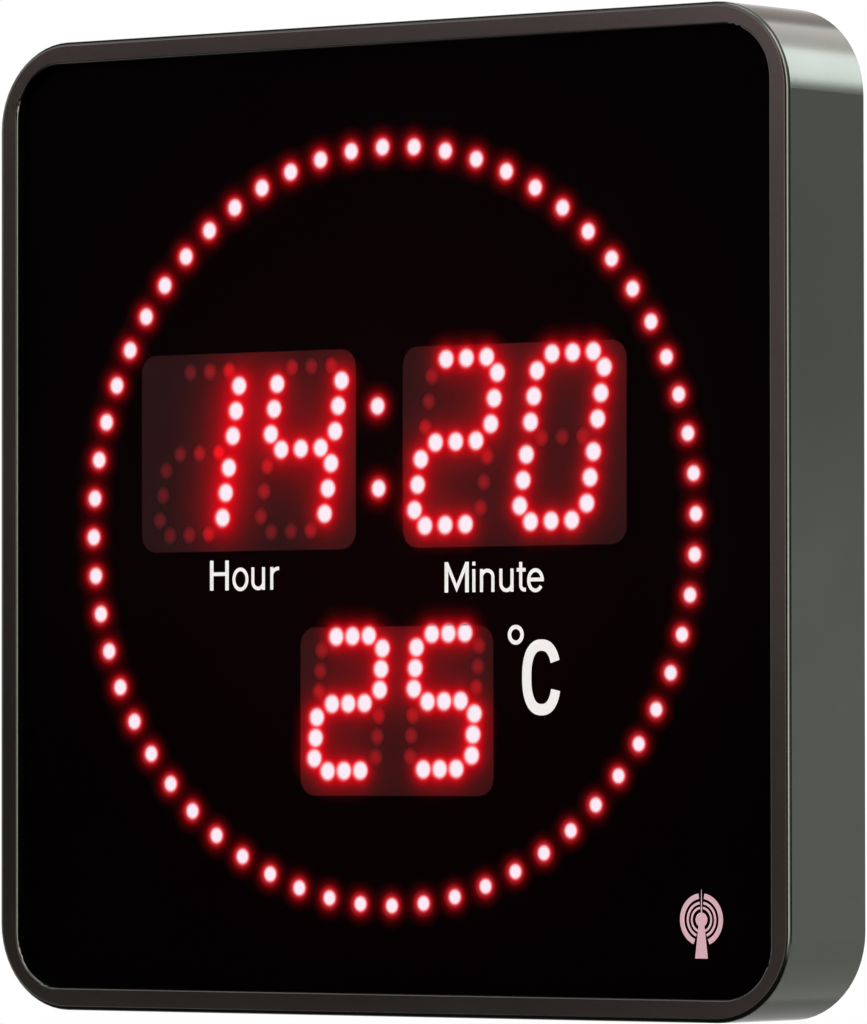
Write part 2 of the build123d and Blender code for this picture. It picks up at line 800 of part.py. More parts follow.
with BuildPart() as aerial_clips:
    for side in signs:
        with BuildSketch(Plane.YZ.offset(side * clip_spread / 2 - clip_thickness / 2)):
            with Locations((-rod_axis, rod_z)):
                Circle(rod_radius + clip_rim)
            with Locations((-(rod_axis + board_back) / 2, rod_z)):
                Rectangle(rod_height, 2 * (rod_radius + clip_rim))
            with Locations((-rod_axis, rod_z)):
                Circle(rod_radius + thread_gap, mode=Mode.SUBTRACT)
        extrude(amount=clip_thickness)
keep(aerial_clips, "aerial_clips")

# Receiver: a small board on the lamp board, with its chip
with BuildPart() as receiver_board:
    with BuildSketch(facing(board_back)):
        with Locations((0, receiver_z)):
            Rectangle(receiver_width, receiver_height)
    extrude(amount=-receiver_thickness)
keep(receiver_board, "receiver_board")

with BuildPart() as receiver_chip:
    with BuildSketch(facing(board_back - receiver_thickness)):
        with Locations((0, receiver_z)):
            Rectangle(receiver_chip_size, receiver_chip_size)
    extrude(amount=-receiver_chip_thickness)
keep(receiver_chip, "receiver_chip")

# Chips on the back of the lamp board
chips = {
    "processor": (processor_shares, processor_size, processor_size, processor_thickness),
    "lamp_drivers": (driver_shares, driver_width, driver_height, driver_thickness),
    "regulator": (regulator_shares, regulator_width, regulator_height, regulator_thickness),
}
for name, (shares, width, height, thickness) in chips.items():
    with BuildPart() as chip:
        with BuildSketch(board_plane(board_back)):
            with Locations(*on_board(shares)):
                Rectangle(width, height)
        extrude(amount=-thickness)
        chamfer(chip.faces().filter_by(Axis.Y).group_by(Axis.Y)[-1].edges(), chip_edge)
    keep(chip, name)

# Capacitors, crystal and the temperature sensor
with BuildPart() as capacitors:
    with BuildSketch(board_plane(board_back)):
        with Locations(*on_board(capacitor_shares)):
            Circle(capacitor_radius)
    extrude(amount=-capacitor_height)
    fillet(capacitors.faces().filter_by(Axis.Y).group_by(Axis.Y)[-1].edges(), capacitor_edge)
keep(capacitors, "capacitors")

with BuildPart() as crystal:
    with BuildSketch(board_plane(board_back)):
        with Locations(*on_board(crystal_shares)):
            SlotOverall(crystal_length, crystal_width)
    extrude(amount=-crystal_height)
    fillet(crystal.faces().filter_by(Axis.Y).group_by(Axis.Y)[-1].edges(), chip_edge)
keep(crystal, "crystal")

with BuildPart() as temperature_sensor:
    bead_front = board_back - sensor_height + sensor_radius
    with BuildSketch(board_plane(bead_front)):
        with Locations(*on_board(sensor_shares)):
            Circle(sensor_radius)
    extrude(amount=-2 * sensor_radius)
    fillet(temperature_sensor.edges().filter_by(GeomType.CIRCLE), sensor_edge)
    with BuildSketch(board_plane(board_back)):
        with Locations(*on_board(sensor_shares)):
            with GridLocations(sensor_leg_spacing, sensor_leg_spacing, 2, 1):
                Circle(sensor_leg_radius)
    extrude(amount=bead_front - board_back)
keep(temperature_sensor, "temperature_sensor")
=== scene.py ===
from math import cos, radians, sin, tan

import bmesh
import bpy
import numpy as np
from mathutils import Euler, Matrix, Vector


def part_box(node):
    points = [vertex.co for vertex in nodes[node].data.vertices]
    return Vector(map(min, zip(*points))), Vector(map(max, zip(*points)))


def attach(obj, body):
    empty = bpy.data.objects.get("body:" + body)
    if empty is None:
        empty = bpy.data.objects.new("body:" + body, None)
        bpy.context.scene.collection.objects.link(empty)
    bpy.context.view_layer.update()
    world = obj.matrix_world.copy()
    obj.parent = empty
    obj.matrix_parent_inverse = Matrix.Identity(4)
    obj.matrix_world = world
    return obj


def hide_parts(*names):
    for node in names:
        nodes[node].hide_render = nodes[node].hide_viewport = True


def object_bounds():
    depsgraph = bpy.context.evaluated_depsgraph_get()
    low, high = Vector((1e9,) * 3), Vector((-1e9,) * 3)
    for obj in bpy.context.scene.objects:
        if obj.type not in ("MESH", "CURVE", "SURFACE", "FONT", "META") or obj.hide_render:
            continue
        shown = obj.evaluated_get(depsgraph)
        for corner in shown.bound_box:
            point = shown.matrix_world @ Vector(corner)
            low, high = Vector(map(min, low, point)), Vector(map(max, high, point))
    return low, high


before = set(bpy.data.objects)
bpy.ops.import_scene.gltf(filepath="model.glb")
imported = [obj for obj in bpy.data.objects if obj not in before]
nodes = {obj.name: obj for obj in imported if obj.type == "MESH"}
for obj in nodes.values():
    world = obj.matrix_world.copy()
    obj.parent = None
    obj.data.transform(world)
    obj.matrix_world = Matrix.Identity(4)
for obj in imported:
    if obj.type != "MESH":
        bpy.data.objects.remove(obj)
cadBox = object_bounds()
scene = bpy.context.scene
scene.view_settings.view_transform = "Standard"
mm = 0.001
upright = Matrix.Rotation(radians(90), 4, "X")  # stands a flat drawing up, facing the front
print("frame loaded:", len(nodes), "nodes")


def linear(colour):
    # sRGB hex to linear, with alpha
    parts = [int(colour[i:i + 2], 16) / 255 for i in (1, 3, 5)]
    return tuple(c / 12.92 if c <= 0.04045 else ((c + 0.055) / 1.055) ** 2.4 for c in parts) + (1.0,)


def addNode(tree, kind, settings=None, links=None):
    # settings go to sockets by name or number, and otherwise to the node itself
    node = tree.nodes.new(kind)
    for key, value in (settings or {}).items():
        if isinstance(key, int) or key in node.inputs:
            node.inputs[key].default_value = value
        else:
            setattr(node, key, value)
    for key, source in (links or {}).items():
        tree.links.new(source, node.inputs[key])
    return node


def newFinish(name):
    material = bpy.data.materials.new(name)
    material.use_nodes = True
    material.node_tree.nodes.clear()
    return material, material.node_tree


def perMetre(size):
    # noise scale for a grain of this many millimetres
    return 1000 / size


def addPiece(name, bm, finishes, body="case"):
    mesh = bpy.data.meshes.new(name)
    bm.to_mesh(mesh)
    bm.free()
    piece = bpy.data.objects.new(name, mesh)
    scene.collection.objects.link(piece)
    for finish in finishes:
        mesh.materials.append(finish)
    if body:
        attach(piece, body)
    return piece


def vertsIn(geometry):
    return [part for part in geometry if isinstance(part, bmesh.types.BMVert)]


# Camera at the photograph's place
cameraSettings = {
    "place": (1.5631, -2.0654, -0.0685),
    "turn": 37.2864,  # degrees to the right of the dial
    "tilt": 1.5737,   # degrees up
    "roll": -0.0583,
    "lens": 318.4,    # mm, as the sensor
    "sensor": 36,
    "reach": 60,      # metres
}
cameraData = bpy.data.cameras.new("camera")
cameraData.lens = cameraSettings["lens"]
cameraData.sensor_width = cameraSettings["sensor"]
cameraData.clip_end = cameraSettings["reach"]
camera = bpy.data.objects.new("camera", cameraData)
aim = Euler((radians(90 + cameraSettings["tilt"]), 0, radians(cameraSettings["turn"]))).to_matrix()
aim = aim @ Matrix.Rotation(radians(cameraSettings["roll"]), 3, "Z")
camera.matrix_world = Matrix.Translation(cameraSettings["place"]) @ aim.to_4x4()
scene.collection.objects.link(camera)
scene.camera = camera
print("camera placed")

# Studio: white where it is seen or mirrored, and an even soft light on what it lights
studio = {
    "white": "#ffffff",
    "worldLight": 0.9,
    "worldShown": 1.0,
    "floorDrop": 0.2,         # metres of air under the clock
    "floorHalf": 12,          # metres
    "floorColour": "#f3f3f1",
    "floorRough": 0.9,
    "floorFade": (0.7, 1.6),  # metres out, over which the floor turns into the white background
}
softboxes = {
    # place, aimed at, width and height in metres, watts
    "overhead": ((-0.3, -0.4, 1.9), (0, 0, 0), (1.2, 1.2), 9),
}
cards = {
    # place, aimed at, width and height in metres, emitted colour and strength; only gloss mirrors them
    "darkCard": ((-0.661, -0.872, 0.032), (0, 0, 0.032), (0.389, 0.437), "#000000", 1.0),
    "warmCard": ((-0.72, -0.97, 0.33), (0, 0, 0.33), (1.3, 0.7), "#f9d8df", 2.0),
    "lowWarmCard": ((-0.72, -0.97, -0.22), (0, 0, -0.22), (1.3, 0.4), "#dfc4c5", 1.0),
    "glintCard": ((0.68, -0.75, 1.1), (0, 0, 0), (0.7, 0.7), "#fff4ee", 6.0),
    "cornerCard": ((0.9, 1.35, 0.895), (0.9, 0, 0.895), (0.6, 0.95), "#f7fcff", 7.4),
    "topCard": ((0.25, 1.35, 1.15), (0.25, 0, 1.15), (0.7, 0.7), "#fff8f4", 2.7),
    "sideCard": ((1.17, 1.36, 0.22), (1.17, 0, 0.22), (0.7, 0.3), "#d8d8d6", 1.0),
    "backCard": ((-0.5, 1.36, 1.0), (-0.5, 0, 1.0), (0.6, 0.7), "#dccfc8", 1.0),
    "edgeCard": ((1.1, -0.86, 0.6), (0, 0, 0.6), (0.6, 2.0), "#fff4ee", 6.0),
    "flagFront": ((0.29, -1.16, 0), (0, 0, 0), (0.75, 1.0), "#000000", 1.0),
    "flagRight": ((1.14, 0.37, 0), (0, 0, 0), (0.85, 1.2), "#5c5c5a", 1.0),
    "flagTop": ((-0.79, 0.03, 1.03), (0, 0, 0), (0.9, 0.9), "#000000", 1.0),
    "flagLow": ((0, -0.43, -0.335), (0, -0.43, 0), (1.2, 0.95), "#3a3a3a", 1.0),
    "lowCard": ((-0.2, 0.42, -0.335), (-0.2, 0.42, 0), (0.6, 0.65), "#bcbcba", 1.0),
}
white = linear(studio["white"])


def seenShare(tree):
    # 1 for what the camera, gloss or glass sees, and 0 for light on its way to something else
    path = addNode(tree, "ShaderNodeLightPath")
    adding = {"operation": "ADD", "use_clamp": True}
    direct = addNode(
        tree, "ShaderNodeMath", adding,
        {0: path.outputs["Is Camera Ray"], 1: path.outputs["Is Glossy Ray"]},
    )
    seen = addNode(
        tree, "ShaderNodeMath", adding,
        {0: direct.outputs[0], 1: path.outputs["Is Transmission Ray"]},
    )
    return seen.outputs[0]


world = bpy.data.worlds.new("studio")
world.use_nodes = True
scene.world = world
tree = world.node_tree
tree.nodes.clear()
lit = addNode(tree, "ShaderNodeBackground", {"Color": white, "Strength": studio["worldLight"]})
shown = addNode(tree, "ShaderNodeBackground", {"Color": white, "Strength": studio["worldShown"]})
mixed = addNode(
    tree, "ShaderNodeMixShader", {},
    {0: seenShare(tree), 1: lit.outputs[0], 2: shown.outputs[0]},
)
addNode(tree, "ShaderNodeOutputWorld", {}, {"Surface": mixed.outputs[0]})

for name, (place, target, size, watts) in softboxes.items():
    light = bpy.data.lights.new(name, "AREA")
    light.shape = "RECTANGLE"
    light.size, light.size_y = size
    light.energy = watts
    softbox = bpy.data.objects.new(name, light)
    softbox.location = place
    softbox.rotation_euler = (Vector(target) - Vector(place)).to_track_quat("-Z", "Y").to_euler()
    scene.collection.objects.link(softbox)

# Pale matt paint: keeps the shadow under the clock, and turns into the background further out
floorFinish, tree = newFinish("paleFloor")
paint = addNode(
    tree, "ShaderNodeBsdfPrincipled",
    {"Base Color": linear(studio["floorColour"]), "Roughness": studio["floorRough"]},
)
backdrop = addNode(tree, "ShaderNodeEmission", {"Color": white, "Strength": studio["worldShown"]})
place = addNode(tree, "ShaderNodeTexCoord").outputs["Object"]
level = addNode(tree, "ShaderNodeVectorMath", {"operation": "MULTIPLY", 1: (1, 1, 0)}, {0: place})
out = addNode(tree, "ShaderNodeVectorMath", {"operation": "LENGTH"}, {0: level.outputs[0]})
fade = addNode(
    tree, "ShaderNodeMapRange",
    {"From Min": studio["floorFade"][0], "From Max": studio["floorFade"][1]},
    {"Value": out.outputs["Value"]},
)
faded = addNode(
    tree, "ShaderNodeMath", {"operation": "MULTIPLY"},
    {0: fade.outputs[0], 1: seenShare(tree)},
)
mixed = addNode(
    tree, "ShaderNodeMixShader", {},
    {0: faded.outputs[0], 1: paint.outputs[0], 2: backdrop.outputs[0]},
)
addNode(tree, "ShaderNodeOutputMaterial", {}, {"Surface": mixed.outputs[0]})
bm = bmesh.new()
floorPlace = Matrix.Translation((0, 0, cadBox[0][2] - studio["floorDrop"]))
bmesh.ops.create_grid(bm, x_segments=1, y_segments=1, size=studio["floorHalf"], matrix=floorPlace)
addPiece("floor", bm, [floorFinish], None)

for name, (place, target, size, colour, strength) in cards.items():
    cardFinish, tree = newFinish(name)
    paint = addNode(tree, "ShaderNodeEmission", {"Color": linear(colour), "Strength": strength})
    addNode(tree, "ShaderNodeOutputMaterial", {}, {"Surface": paint.outputs[0]})
    facing = (Vector(place) - Vector(target)).to_track_quat("Z", "Y").to_matrix().to_4x4()
    turned = Matrix.Translation(place) @ facing @ Matrix.Diagonal((size[0], size[1], 1, 1))
    bm = bmesh.new()
    bmesh.ops.create_grid(bm, x_segments=1, y_segments=1, size=0.5, matrix=turned)
    card = addPiece(name, bm, [cardFinish], None)
    card.visible_camera = False
    card.visible_diffuse = False
    card.visible_shadow = False
print("studio lit")


# Finishes: sizes of patches and grains in millimetres
grained = {
    "patchDetail": 3.0,
    "grainDetail": 2.0,
    "noise": (0.3, 0.7),  # most of a noise's values lie between these
    "depth": 0.25,        # of the relief, as a share of the grain
    "metal": 0.0,         # where a finish names none, as the next
    "shine": 0.5,
}


def grainedFinish(name, look):
    # two close colours in soft patches, or from the middle outwards, with a fine grain in gloss and relief
    material, tree = newFinish(name)
    place = addNode(tree, "ShaderNodeTexCoord").outputs["Object"]
    if "reach" in look:
        out = addNode(tree, "ShaderNodeVectorMath", {"operation": "LENGTH"}, {0: place})
        near, far = look["reach"]
        ends = {"From Min": near * mm, "From Max": far * mm}
        shares = addNode(tree, "ShaderNodeMapRange", ends, {"Value": out.outputs["Value"]})
    else:
        shares = addNode(
            tree, "ShaderNodeTexNoise",
            {"Scale": perMetre(look["patch"]), "Detail": grained["patchDetail"]},
            {"Vector": place},
        )
    grain = addNode(
        tree, "ShaderNodeTexNoise",
        {"Scale": perMetre(look["grain"]), "Detail": grained["grainDetail"]},
        {"Vector": place},
    )
    colour = addNode(
        tree, "ShaderNodeMix",
        {"data_type": "RGBA", 6: linear(look["colours"][0]), 7: linear(look["colours"][1])},
        {0: shares.outputs[0]},
    )
    low, high = grained["noise"]
    rough = addNode(
        tree, "ShaderNodeMapRange",
        {"From Min": low, "From Max": high, "To Min": look["rough"][0], "To Max": look["rough"][1]},
        {"Value": grain.outputs[0]},
    )
    relief = addNode(
        tree, "ShaderNodeBump",
        {"Strength": look["relief"], "Distance": look["grain"] * mm * grained["depth"]},
        {"Height": grain.outputs[0]},
    )
    surface = addNode(
        tree, "ShaderNodeBsdfPrincipled",
        {
            "Metallic": look.get("metal", grained["metal"]),
            "Specular IOR Level": look.get("shine", grained["shine"]),
        },
        {"Base Color": colour.outputs[2], "Roughness": rough.outputs[0], "Normal": relief.outputs[0]},
    )
    addNode(tree, "ShaderNodeOutputMaterial", {}, {"Surface": surface.outputs[0]})
    return material


# Bead-blasted, anodised aluminium: even satin sheen, grain drawn coarser than the real 0.1 mm
anodisedGraphite = grainedFinish("anodisedGraphite", {
    "colours": ("#494c47", "#525550"), "patch": 35, "grain": 0.4,
    "rough": (0.16, 0.2), "relief": 0.02, "metal": 1.0,
})
# Closed-cell foam tape: dull black with open pores at its cut edge
foamTape = grainedFinish("foamTape", {
    "colours": ("#101010", "#1a1a1a"), "patch": 1.5, "grain": 0.4,
    "rough": (0.85, 0.95), "relief": 0.5,
})
# Screen print under the panel: deep black, with no gloss of its own because it has no air in front of it,
# and a painted red glow of the lamps that grows towards its middle
screenPrintWithGlow = grainedFinish("screenPrintWithGlow", {
    # painted glow: redder within 30 mm of the middle, where the lamps are, and black by 150 mm
    "colours": ("#0e0203", "#030102"), "reach": (30, 150), "grain": 0.5,
    "rough": (0.7, 0.85), "relief": 0.05, "shine": 0.0,
})
# Smoke-grey moulded guide: dull brown-black, seen behind the windows
smokedGuide = grainedFinish("smokedGuide", {
    "colours": ("#151314", "#191617"), "patch": 12, "grain": 0.6,
    "rough": (0.6, 0.75), "relief": 0.1, "shine": 0.02,
})
# Spark-eroded ABS: charcoal black with a fine pebbled grain
mouldedCharcoal = grainedFinish("mouldedCharcoal", {
    "colours": ("#1c1d1e", "#242526"), "patch": 25, "grain": 0.9,
    "rough": (0.5, 0.62), "relief": 0.35,
})
# Silicone rubber: soft dark grey that looks slightly dusty
siliconeRubber = grainedFinish("siliconeRubber", {
    "colours": ("#35373a", "#3e4043"), "patch": 5, "grain": 0.4,
    "rough": (0.68, 0.8), "relief": 0.15,
})
# Zinc-plated steel: bluish silver with faint cloudy patches
zincSteel = grainedFinish("zincSteel", {
    "colours": ("#aeb2b5", "#c3c6c8"), "patch": 3, "grain": 0.5,
    "rough": (0.28, 0.42), "relief": 0.08, "metal": 1.0,
})
# Solder-masked glass-fibre board: deep green, with the weave just showing in its gloss
solderMask = grainedFinish("solderMask", {
    "colours": ("#0f3d24", "#14492c"), "patch": 4, "grain": 0.7,
    "rough": (0.35, 0.5), "relief": 0.2,
})
# Chip epoxy: matt near-black with a sandy grain
chipEpoxy = grainedFinish("chipEpoxy", {
    "colours": ("#17181a", "#1e1f21"), "patch": 3, "grain": 0.3,
    "rough": (0.6, 0.75), "relief": 0.2,
})
# Rolled stainless steel of a coin cell: bright, with fine wear
cellSteel = grainedFinish("cellSteel", {
    "colours": ("#b9bbbc", "#cfd0d0"), "patch": 6, "grain": 0.4,
    "rough": (0.18, 0.3), "relief": 0.05, "metal": 1.0,
})
# Phosphor bronze strip: warm, slightly tarnished yellow
contactBronze = grainedFinish("contactBronze", {
    "colours": ("#b98d4f", "#cba468"), "patch": 4, "grain": 0.4,
    "rough": (0.25, 0.4), "relief": 0.05, "metal": 1.0,
})
# Sintered ferrite: dark slate with a ground, stony surface
groundFerrite = grainedFinish("groundFerrite", {
    "colours": ("#2a2a2d", "#37373a"), "patch": 2, "grain": 0.3,
    "rough": (0.45, 0.65), "relief": 0.25,
})
# Enamelled copper wire: lacquered orange-brown
enamelCopper = grainedFinish("enamelCopper", {
    "colours": ("#8a4a22", "#a85f30"), "patch": 1.2, "grain": 0.3,
    "rough": (0.2, 0.32), "relief": 0.3, "metal": 1.0,
})
# Shrink-sleeved capacitor can: glossy blue-black film
capacitorSleeve = grainedFinish("capacitorSleeve", {
    "colours": ("#141a2c", "#1b2236"), "patch": 5, "grain": 0.5,
    "rough": (0.25, 0.35), "relief": 0.06,
})
# PVC lead sheath: dull red
leadSheath = grainedFinish("leadSheath", {
    "colours": ("#6d1214", "#7d1a1c"), "patch": 3, "grain": 0.3,
    "rough": (0.45, 0.55), "relief": 0.1,
})
# Dipped resin bead: glossy brown
resinBead = grainedFinish("resinBead", {
    "colours": ("#4a2a16", "#5a351d"), "patch": 1.5, "grain": 0.3,
    "rough": (0.2, 0.3), "relief": 0.05,
})
# Tinted lamp resin: glossy dark red
tintedResin = grainedFinish("tintedResin", {
    "colours": ("#521a20", "#641f26"), "patch": 2, "grain": 0.3,
    "rough": (0.2, 0.3), "relief": 0.05,
})
# Screen-printed white ink: flat white with a trace of the mesh
whiteInk = grainedFinish("whiteInk", {
    "colours": ("#f8f8f6", "#fdfdfb"), "patch": 2, "grain": 0.3,
    "rough": (0.6, 0.7), "relief": 0.05, "shine": 0.2,
})
# The same ink in pale rose
roseInk = grainedFinish("roseInk", {
    "colours": ("#dcb0bc", "#e2b8c3"), "patch": 2, "grain": 0.3,
    "rough": (0.6, 0.7), "relief": 0.05, "shine": 0.2,
})

# Coated acrylic: clear with a trace of smoke. The coat keeps its gloss low, and the gloss grows as the panel
# is seen more edge-on. Only the outside shines, so the print has no ghost.
acrylic = {
    "cloud": 25,           # mm
    "cloudDetail": 2.0,
    "rough": (0.03, 0.07),
    "tint": "#fdfbfb",
    "coatIndex": 1.3,      # refractive
    "coatShare": 0.3,      # of the gloss that the index alone would give
}
clearAcrylic, tree = newFinish("clearAcrylic")
place = addNode(tree, "ShaderNodeTexCoord").outputs["Object"]
haze = addNode(
    tree, "ShaderNodeTexNoise",
    {"Scale": perMetre(acrylic["cloud"]), "Detail": acrylic["cloudDetail"]},
    {"Vector": place},
)
rough = addNode(
    tree, "ShaderNodeMapRange",
    {"To Min": acrylic["rough"][0], "To Max": acrylic["rough"][1]},
    {"Value": haze.outputs[0]},
)
gloss = addNode(tree, "ShaderNodeBsdfGlossy", {"Color": white}, {"Roughness": rough.outputs[0]})
clear = addNode(tree, "ShaderNodeBsdfTransparent", {"Color": linear(acrylic["tint"])})
bare = addNode(tree, "ShaderNodeFresnel", {"IOR": acrylic["coatIndex"]})
share = addNode(
    tree, "ShaderNodeMath", {"operation": "MULTIPLY", 1: acrylic["coatShare"]},
    {0: bare.outputs[0]},
)
inside = addNode(tree, "ShaderNodeNewGeometry").outputs["Backfacing"]
outside = addNode(tree, "ShaderNodeMath", {"operation": "SUBTRACT", 0: 1.0}, {1: inside})
share = addNode(
    tree, "ShaderNodeMath", {"operation": "MULTIPLY"},
    {0: share.outputs[0], 1: outside.outputs[0]},
)
mixed = addNode(
    tree, "ShaderNodeMixShader", {},
    {0: share.outputs[0], 1: clear.outputs[0], 2: gloss.outputs[0]},
)
addNode(tree, "ShaderNodeOutputMaterial", {}, {"Surface": mixed.outputs[0]})

# Red lamp, lit: pinkish white heart that turns red at its rim. Each point knows its offset from the lamp's
# middle, in shares of the heart's radius.
litLook = {
    "reach": 1.4,  # shares of the heart's radius that the colours cover
    "colours": (
        (0.5, "#f6ecf7"), (0.6, "#fae0ea"), (0.7, "#fcb6ba"),
        (0.78, "#f08088"), (0.88, "#b0424a"), (0.95, "#70141c"),
    ),
    "resin": "#200204",
    "rough": 0.4,
    "shine": 0.2,
    "strength": 1.05,
}
litLamp, tree = newFinish("litLamp")
offset = addNode(tree, "ShaderNodeAttribute", {"attribute_name": "offset"})
away = addNode(tree, "ShaderNodeVectorMath", {"operation": "LENGTH"}, {0: offset.outputs["Vector"]})
reach = addNode(tree, "ShaderNodeMapRange", {"From Max": litLook["reach"]}, {"Value": away.outputs["Value"]})
heat = addNode(tree, "ShaderNodeValToRGB", {}, {0: reach.outputs[0]})
stops = heat.color_ramp.elements
stops.remove(stops[1])
stops[0].color = linear(litLook["colours"][0][1])
for share, colour in litLook["colours"]:
    stops.new(share).color = linear(colour)
surface = addNode(
    tree, "ShaderNodeBsdfPrincipled",
    {
        "Base Color": linear(litLook["resin"]), "Roughness": litLook["rough"],
        "Specular IOR Level": litLook["shine"], "Emission Strength": litLook["strength"],
    },
    {"Emission Color": heat.outputs[0]},
)
addNode(tree, "ShaderNodeOutputMaterial", {}, {"Surface": surface.outputs[0]})

# Red lamp, unlit: dark tinted resin, with a painted red glow for the light that it catches from lit lamps
# near it, as strong as each lamp's caught light; it fades into the guide towards its rim
unlitLook = {
    "fade": (0.25, 1.2),              # shares of the heart's radius
    "resin": ("#1d1617", "#521a20"),  # at the rim and in the heart
    "caught": ("#000000", "#ff0a10"),
    "rough": 0.5,
    "shine": 0.03,
}
unlitLamp, tree = newFinish("unlitLamp")
offset = addNode(tree, "ShaderNodeAttribute", {"attribute_name": "offset"})
caughtRedLight = addNode(tree, "ShaderNodeAttribute", {"attribute_name": "caughtRedLight"})
away = addNode(tree, "ShaderNodeVectorMath", {"operation": "LENGTH"}, {0: offset.outputs["Vector"]})
near, far = unlitLook["fade"]
heart = addNode(
    tree, "ShaderNodeMapRange",
    {"interpolation_type": "SMOOTHSTEP", "From Min": near, "From Max": far, "To Min": 1.0, "To Max": 0.0},
    {"Value": away.outputs["Value"]},
)
resin = addNode(
    tree, "ShaderNodeMix",
    {"data_type": "RGBA", 6: linear(unlitLook["resin"][0]), 7: linear(unlitLook["resin"][1])},
    {0: heart.outputs[0]},
)
share = addNode(
    tree, "ShaderNodeMath", {"operation": "MULTIPLY"},
    {0: caughtRedLight.outputs["Fac"], 1: heart.outputs[0]},
)
# painted red glow, given off by the unlit lamp
caught = addNode(
    tree, "ShaderNodeMix",
    {"data_type": "RGBA", 6: linear(unlitLook["caught"][0]), 7: linear(unlitLook["caught"][1])},
    {0: share.outputs[0]},
)
surface = addNode(
    tree, "ShaderNodeBsdfPrincipled",
    {"Roughness": unlitLook["rough"], "Specular IOR Level": unlitLook["shine"], "Emission Strength": 1.0},
    {"Base Color": resin.outputs[2], "Emission Color": caught.outputs[2]},
)
addNode(tree, "ShaderNodeOutputMaterial", {}, {"Surface": surface.outputs[0]})

# Painted glow: an emitting film stands in for the light that the lamps scatter in the back of the panel, red
# by the painted glow at each point, and pink by its painted bloom
glowLook = {
    "red": "#ff0c1e",
    "pink": "#f6ecf7",
    "strength": 1.05,
}
redGlow, tree = newFinish("redGlow")
glowShare = addNode(tree, "ShaderNodeAttribute", {"attribute_name": "glow"})
bloomShare = addNode(tree, "ShaderNodeAttribute", {"attribute_name": "bloom"})
heat = addNode(
    tree, "ShaderNodeMix",
    {"data_type": "RGBA", 6: linear(glowLook["red"]), 7: linear(glowLook["pink"])},
    {0: bloomShare.outputs["Fac"]},
)
red = addNode(tree, "ShaderNodeEmission", {"Strength": glowLook["strength"]}, {"Color": heat.outputs[2]})
clear = addNode(tree, "ShaderNodeBsdfTransparent")
mixed = addNode(
    tree, "ShaderNodeMixShader", {},
    {0: glowShare.outputs["Fac"], 1: clear.outputs[0], 2: red.outputs[0]},
)
addNode(tree, "ShaderNodeOutputMaterial", {}, {"Surface": mixed.outputs[0]})
print("finishes made")

# Finishes of the CAD nodes
buttons = ("set", "plus", "minus", "wave", "dim")
worn = {
    anodisedGraphite: ["case_frame"],
    foamTape: ["panel_tape"],
    clearAcrylic: ["front_panel"],
    screenPrintWithGlow: ["dial_mask"],
    smokedGuide: ["lamp_guide"],
    solderMask: ["lamp_board", "receiver_board"],
    mouldedCharcoal: ["back_cover", "battery_door", "switch_bodies", "power_socket", "aerial_clips"],
    siliconeRubber: [name + "_button" for name in buttons],
    zincSteel: [
        "cover_screws", "board_screws", "hanger_plates", "hanger_rivets", "power_nut", "power_pin", "crystal",
    ],
    chipEpoxy: [
        "processor", "lamp_drivers", "regulator", "receiver_chip", *(name + "_plunger" for name in buttons),
    ],
    cellSteel: ["coin_cell"],
    contactBronze: ["battery_minus_contact", "battery_plus_contact"],
    groundFerrite: ["ferrite_rod"],
    enamelCopper: ["aerial_coil"],
    capacitorSleeve: ["capacitors"],
    leadSheath: ["power_leads"],
    resinBead: ["temperature_sensor"],
    tintedResin: ["reception_lamp"],
}
for finish, names in worn.items():
    for name in names:
        for slot in nodes[name].material_slots:
            slot.material = finish
print("CAD nodes finished")

# Lamps: flat-topped, on the places of the CAD lamps. Segments that are lit show 14:20 and 25 degrees.
lamps = {
    "radius": 2.62 * mm,
    "edge": 0.08 * mm,
    "proud": 0.05 * mm,    # lit lamps stand in front of the window film
    "sides": 20,
    "weld": 0.01 * mm,
    "capShare": 0.45,      # of a figure's height: lamps beyond are in its top or foot
    "barShare": 0.05,      # and lamps within are in its bar
    "second_lamps": None,  # None lights them all
    "colon_lamps": None,
    # lit segments, lean in degrees, and how strongly the figure lights its window
    "hour_tens_lamps": ("bc", 9.2, 0.318),
    "hour_units_lamps": ("bcfg", 9.2, 0.162),
    "minute_tens_lamps": ("abdeg", 9.2, 0.126),
    "minute_units_lamps": ("abcdef", 9.2, 0.072),
    "temperature_tens_lamps": ("abdeg", 4.7, 0.092),
    "temperature_units_lamps": ("acdfg", 4.7, 0.085),
}
glow = {
    # of a lamp on the dial, and of one in a window
    "heart": (2.0 * mm, 2.4 * mm),      # radius at which the white has half gone
    "soft": 0.17 * mm,
    "white": 0.9,
    "edge": 2.4 * mm,                   # radius at which the strength is given
    "strength": (0.68, 0.92),
    "falloff": (0.85 * mm, 1.07 * mm),  # to a third over this distance
    "colonReach": 1.1,                  # how much wider the colon's lamps shine than those of the figures
    "ringReach": (1.015, 0.07, 130),    # the ring's mean, and the share by which it grows towards this angle
    "ringRadius": 107.6 * mm,
    "shows": (2.1 * mm, 0.5 * mm),      # the lamp itself shows up to this radius, and then fades over this
    "least": 0.003,
    "most": 0.96,
    "bloomLeast": 0.05,                 # glow that counts at least where the white is weighed against it
    "steepest": 50,
    "step": 0.5 * mm,
    "margin": 9 * mm,
    "setback": 0.03 * mm,               # into the panel
    # in the windows, over a wider area
    "base": 0.011,
    "spreadFalloff": 3.9 * mm,
    "spreadMost": 0.9,
    "spreadStep": 1.5 * mm,
    # painted glow of unlit lamps, caught from the lit ones:
    "caught": (0.03, 3.2),              # by unlit lamps: at least, and as a multiple of the spread
}
windows = {
    # in millimetres
    "corner": 5.16,
    "spare": 0.05,
    # middle and size of each
    "hourWindow": ((-52.5, 20.2), (78.6, 57.0)),
    "minuteWindow": ((42.7, 20.2), (78.6, 57.0)),
    "temperatureWindow": ((1.05, -54.4), (69.1, 48.0)),
}


